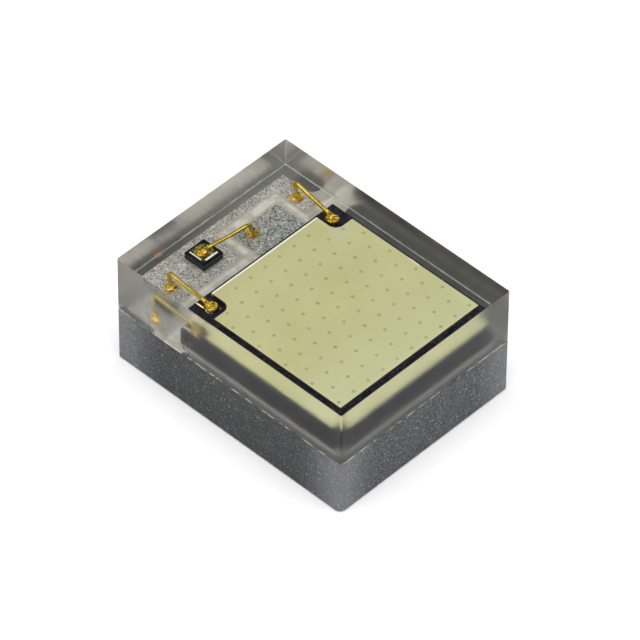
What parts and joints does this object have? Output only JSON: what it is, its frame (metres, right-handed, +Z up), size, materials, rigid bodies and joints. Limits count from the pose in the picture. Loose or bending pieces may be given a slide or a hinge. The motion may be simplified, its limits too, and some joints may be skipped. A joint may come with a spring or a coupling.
{
  "type": "high-power led",
  "caption": "Leadless power LED: a large square chip with a yellow converter plate, gold bond wires and a protection diode on a dark moulded base, cast in a clear block.",
  "frame": {"origin": "centre of the underside, on the plane of the solder pads", "axes": "+X along the length from the bond-wire shelf to the chip, +Y across the width, +Z up through the clear block"},
  "size_m": [0.0016, 0.0012, 0.0007],
  "materials": {
    "molding": "sawn dark moulding compound with fine light filler grains",
    "filler": "smooth pale beige resin",
    "copper": "etched copper alloy",
    "silver": "rough matt silver plating",
    "tin": "matt tin plating",
    "attach": "silver-filled adhesive",
    "carrier": "sawn dark semiconductor",
    "film": "etched crystal film",
    "contact": "contact metal",
    "resin": "clear silicone",
    "converter": "smooth pale yellow converter",
    "gold": "bright drawn and bonded gold",
    "silicon": "sawn polished silicon",
    "aluminium": "bright contact metal",
    "clear": "clear cast resin, polished top and finely sawn sides"
  },
  "bodies": {
    "root": {"base_molding": "molding", "filler": "filler", "anode_lead": "copper", "cathode_lead": "copper", "anode_silver": "silver", "cathode_silver": "silver", "anode_tin": "tin", "cathode_tin": "tin", "die_attach": "attach", "chip_carrier": "carrier", "chip_mirror": "silver", "emitting_film": "film", "contact_dots": "contact", "converter_glue": "resin", "converter_plate": "converter", "front_bond_pad": "gold", "back_bond_pad": "gold", "front_stud_bump": "gold", "back_stud_bump": "gold", "front_bond_wire": "gold", "back_bond_wire": "gold", "diode_bond_wire": "gold", "diode_stud_bump": "gold", "diode_attach": "attach", "protection_diode": "silicon", "diode_contact": "aluminium", "clear_block": "clear"}
  },
  "joints": []
}
